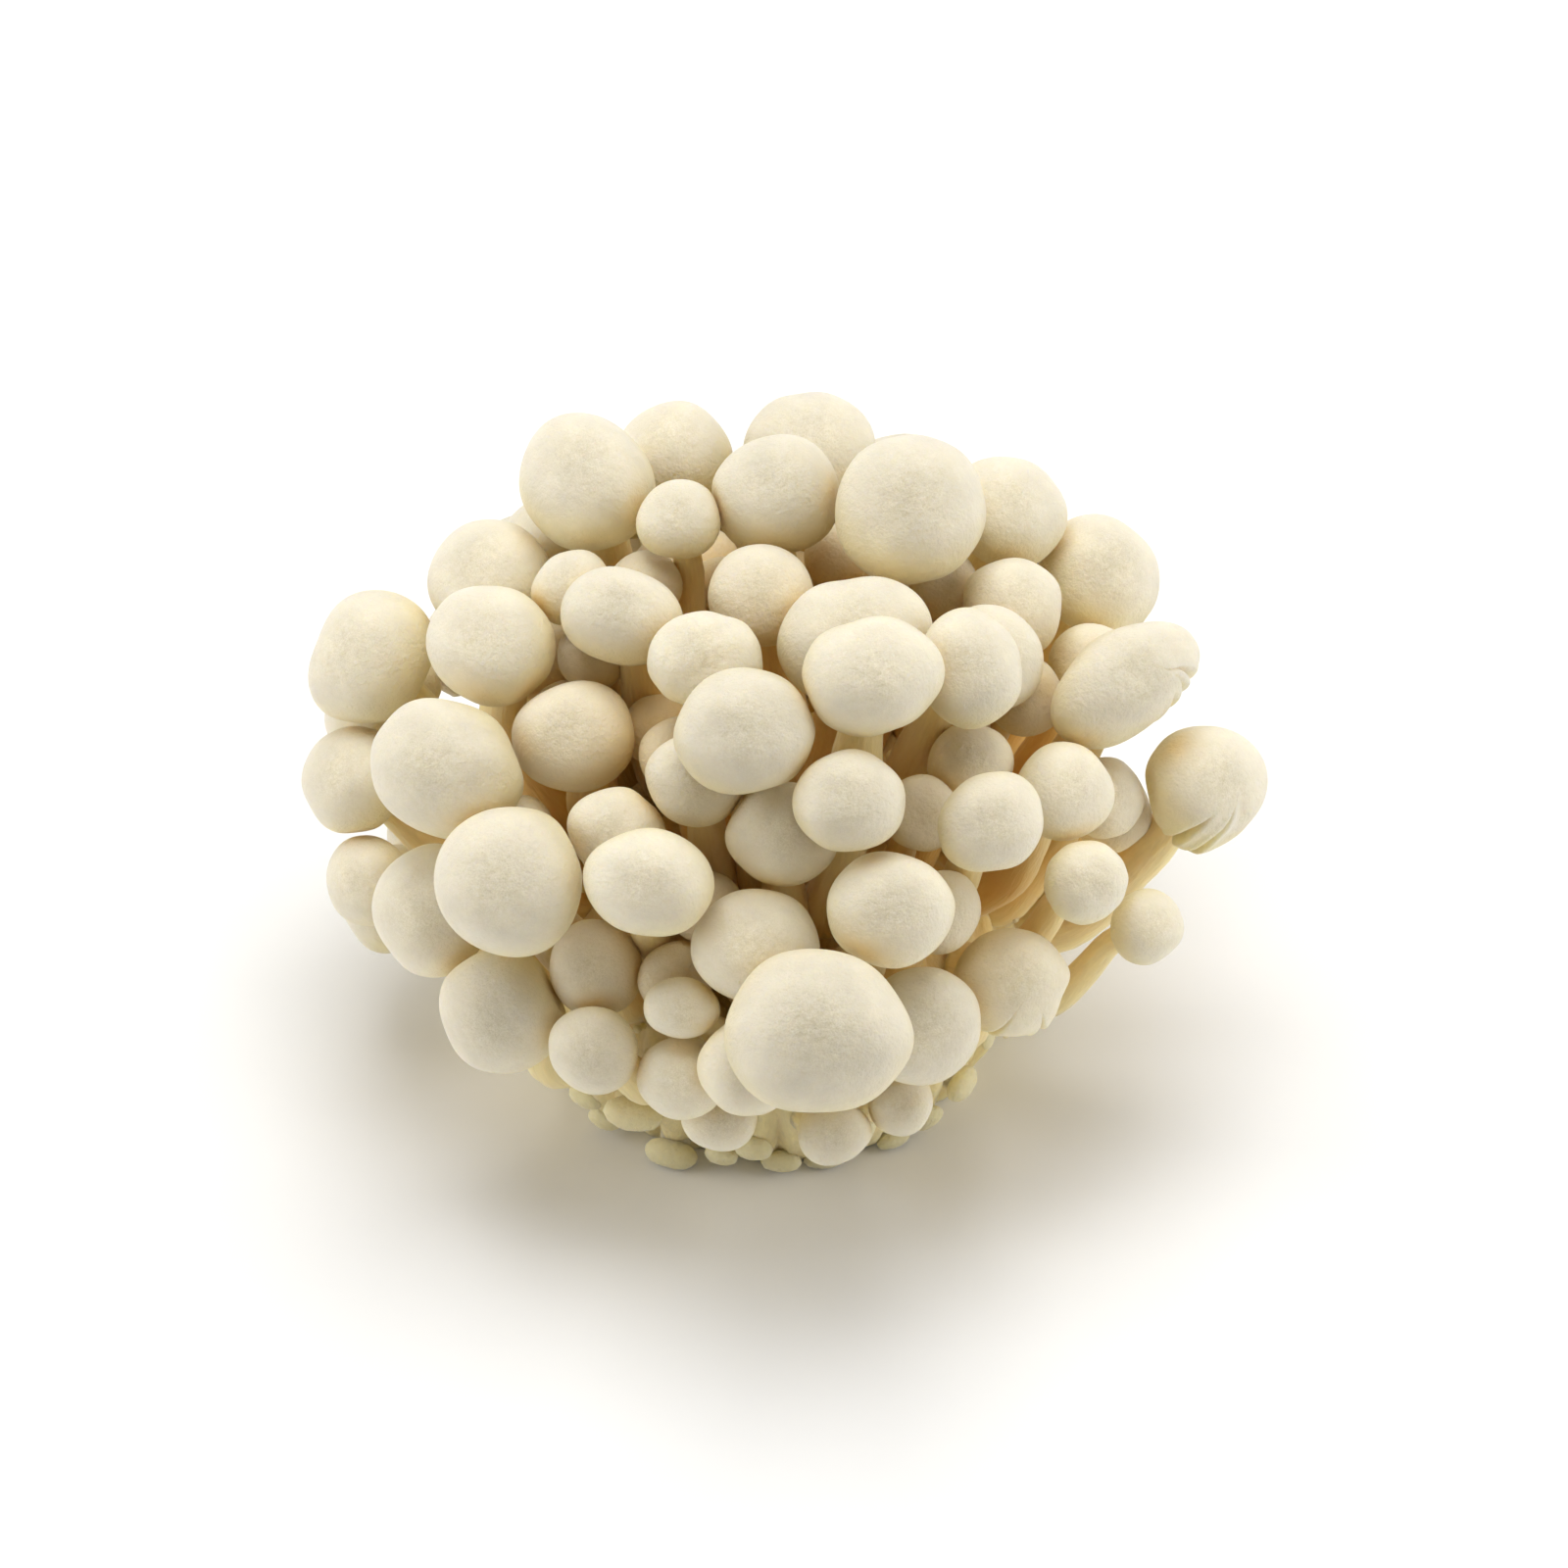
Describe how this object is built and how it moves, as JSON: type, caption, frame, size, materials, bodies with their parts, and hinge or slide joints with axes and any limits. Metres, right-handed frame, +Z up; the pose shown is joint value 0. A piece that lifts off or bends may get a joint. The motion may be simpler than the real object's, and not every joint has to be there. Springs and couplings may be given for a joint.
{
  "type": "beech mushroom cluster",
  "caption": "Cluster of pale, round-capped beech mushrooms on slim curved stems, fanning out from a common foot with a flat cut base.",
  "frame": {"origin": "centre of the flat cut face under the foot, where the cluster rests", "axes": "+Z up out of the cut through the crown, -Y to the front, +X to the right seen from the front"},
  "size_m": [0.1099, 0.1115, 0.0773],
  "materials": {
    "flesh": "satin",
    "foot_flesh": "matte"
  },
  "bodies": {
    "root": {"foot": "foot_flesh", "back_mushroom_1": "flesh", "back_mushroom_2": "flesh", "back_mushroom_3": "flesh", "back_mushroom_4": "flesh", "back_mushroom_5": "flesh", "back_mushroom_6": "flesh", "back_mushroom_7": "flesh", "back_mushroom_8": "flesh", "back_mushroom_9": "flesh", "back_mushroom_10": "flesh", "back_mushroom_11": "flesh", "back_mushroom_12": "flesh", "back_mushroom_13": "flesh", "crown_mushroom_1": "flesh", "crown_mushroom_2": "flesh", "crown_mushroom_3": "flesh", "crown_mushroom_4": "flesh", "crown_mushroom_5": "flesh", "crown_mushroom_6": "flesh", "crown_mushroom_7": "flesh", "crown_mushroom_8": "flesh", "crown_mushroom_9": "flesh", "crown_mushroom_10": "flesh", "crown_mushroom_11": "flesh", "crown_mushroom_12": "flesh", "front_mushroom_1": "flesh", "front_mushroom_2": "flesh", "front_mushroom_3": "flesh", "front_mushroom_4": "flesh", "front_mushroom_5": "flesh", "front_mushroom_6": "flesh", "front_mushroom_7": "flesh", "front_mushroom_8": "flesh", "left_mushroom_1": "flesh", "left_mushroom_2": "flesh", "left_mushroom_3": "flesh", "left_mushroom_4": "flesh", "left_mushroom_5": "flesh", "left_mushroom_6": "flesh", "left_mushroom_7": "flesh", "middle_mushroom_1": "flesh", "middle_mushroom_2": "flesh", "middle_mushroom_3": "flesh", "middle_mushroom_4": "flesh", "middle_mushroom_5": "flesh", "middle_mushroom_6": "flesh", "middle_mushroom_7": "flesh", "middle_mushroom_8": "flesh", "middle_mushroom_9": "flesh", "middle_mushroom_10": "flesh", "middle_mushroom_11": "flesh", "right_mushroom_1": "flesh", "right_mushroom_2": "flesh", "right_mushroom_3": "flesh", "right_mushroom_4": "flesh", "right_mushroom_5": "flesh", "right_mushroom_6": "flesh", "right_mushroom_7": "flesh"}
  },
  "joints": []
}
